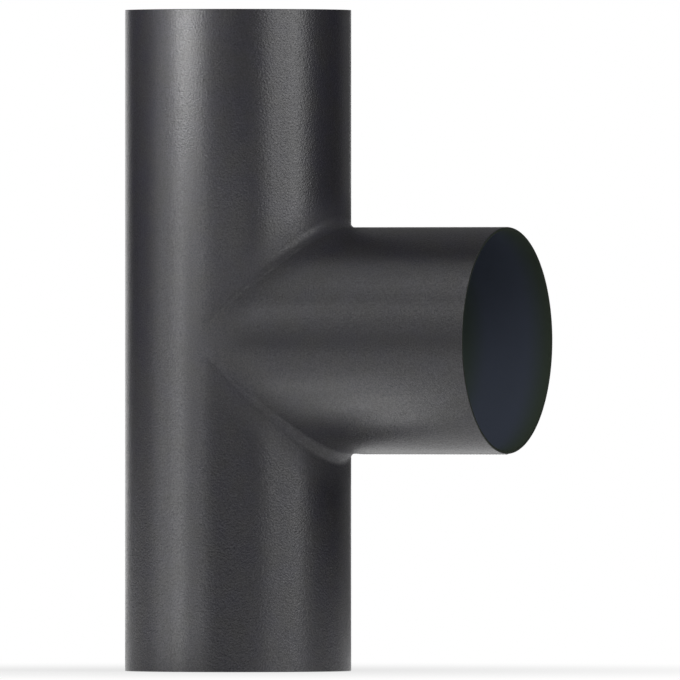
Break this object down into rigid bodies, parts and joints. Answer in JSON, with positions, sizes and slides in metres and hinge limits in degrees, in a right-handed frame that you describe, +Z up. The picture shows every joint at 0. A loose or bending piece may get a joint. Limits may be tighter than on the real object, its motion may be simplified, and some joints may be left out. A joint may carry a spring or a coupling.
{
  "type": "stove pipe tee",
  "caption": "Straight stove pipe of rolled steel sheet with an equal branch welded on at a right angle, open at every end, to join or turn a flue.",
  "frame": {"origin": "centre of the run's lower end, on the surface that the part stands on", "axes": "+Z up the run's axis, +X along the branch's axis towards its mouth"},
  "size_m": [0.2774, 0.154, 0.45],
  "materials": {
    "stove_paint": "satin dark grey heat-proof paint with a fine grain",
    "painted_weld": "ground weld under the same satin dark grey paint"
  },
  "bodies": {
    "root": {"run_pipe": "stove_paint", "branch_pipe": "stove_paint", "saddle_weld": "painted_weld", "run_seam_weld": "painted_weld", "branch_seam_weld": "painted_weld"}
  },
  "joints": []
}
